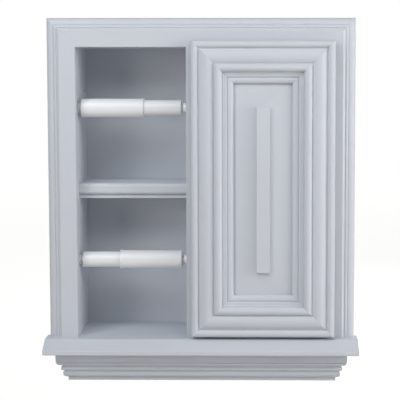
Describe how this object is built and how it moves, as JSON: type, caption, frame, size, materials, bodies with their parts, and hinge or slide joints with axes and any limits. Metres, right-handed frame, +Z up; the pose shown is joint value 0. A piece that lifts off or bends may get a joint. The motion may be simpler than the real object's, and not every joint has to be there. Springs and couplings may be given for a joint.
{
  "type": "recessed toilet paper holder",
  "caption": "Painted wooden cabinet for a wall recess: open roll niches with sprung rollers beside a cupboard with a moulded raised-panel door, on a sill with a stepped apron.",
  "frame": {"origin": "face of the wall at the middle of the opening between the casing stiles, halfway up from the sill's top to the underside of the top casing", "axes": "+X to the right seen from the room, +Y into the wall, +Z up"},
  "size_m": [0.423, 0.134, 0.4913],
  "materials": {
    "painted_wood": "satin paint",
    "white_plastic": "gloss",
    "plated_steel": "nickel plate",
    "magnet": "dark satin",
    "buffer_rubber": "matt"
  },
  "bodies": {
    "cabinet": {"side_panel_left": "painted_wood", "side_panel_right": "painted_wood", "top_panel": "painted_wood", "bottom_panel": "painted_wood", "back_panel": "painted_wood", "divider": "painted_wood", "roll_shelf": "painted_wood", "shelf_nosing": "painted_wood", "storage_shelf": "painted_wood", "shelf_pins": "plated_steel", "casing_left": "painted_wood", "casing_right": "painted_wood", "casing_top": "painted_wood", "sill": "painted_wood", "apron_front": "painted_wood", "apron_return_left": "painted_wood", "apron_return_right": "painted_wood", "hinge_arm_upper": "plated_steel", "hinge_arm_lower": "plated_steel", "hinge_plate_upper": "plated_steel", "hinge_plate_lower": "plated_steel", "hinge_plate_screws": "plated_steel", "hinge_arm_screws": "plated_steel", "catch_body": "white_plastic", "catch_magnet": "magnet", "catch_screws": "plated_steel"},
    "door": {"door_stile_left": "painted_wood", "door_stile_right": "painted_wood", "door_rail_top": "painted_wood", "door_rail_bottom": "painted_wood", "door_panel": "painted_wood", "door_bar": "painted_wood", "hinge_cup_upper": "plated_steel", "hinge_cup_lower": "plated_steel", "hinge_pins": "plated_steel", "hinge_cup_screws": "plated_steel", "strike_plate": "plated_steel", "strike_screw": "plated_steel", "door_buffers": "buffer_rubber"},
    "upper_barrel": {"roller_upper_barrel": "white_plastic", "roller_upper_spring": "plated_steel"},
    "upper_plunger": {"roller_upper_plunger": "white_plastic"},
    "lower_barrel": {"roller_lower_barrel": "white_plastic", "roller_lower_spring": "plated_steel"},
    "lower_plunger": {"roller_lower_plunger": "white_plastic"}
  },
  "joints": [
    {"name": "door_swing", "type": "hinge", "parent": "cabinet", "child": "door", "pos_m": [0.1712, -0.0245, 0], "axis": [0, 0, 1], "range_deg": [0, 100]},
    {"name": "upper_roller_spin", "type": "hinge", "parent": "cabinet", "child": "upper_barrel", "pos_m": [-0.09425, 0.01, 0.1145], "axis": [1, 0, 0], "continuous": true},
    {"name": "upper_plunger_slide", "type": "slide", "parent": "upper_barrel", "child": "upper_plunger", "axis": [-1, 0, 0], "range_m": [0, 0.012], "stiffness_N_per_m": 250, "springref_m": -0.01, "deforming": ["roller_upper_spring"]},
    {"name": "lower_roller_spin", "type": "hinge", "parent": "cabinet", "child": "lower_barrel", "pos_m": [-0.09425, 0.01, -0.0935], "axis": [1, 0, 0], "continuous": true},
    {"name": "lower_plunger_slide", "type": "slide", "parent": "lower_barrel", "child": "lower_plunger", "axis": [1, 0, 0], "range_m": [0, 0.012], "stiffness_N_per_m": 250, "springref_m": -0.01, "deforming": ["roller_lower_spring"]}
  ]
}
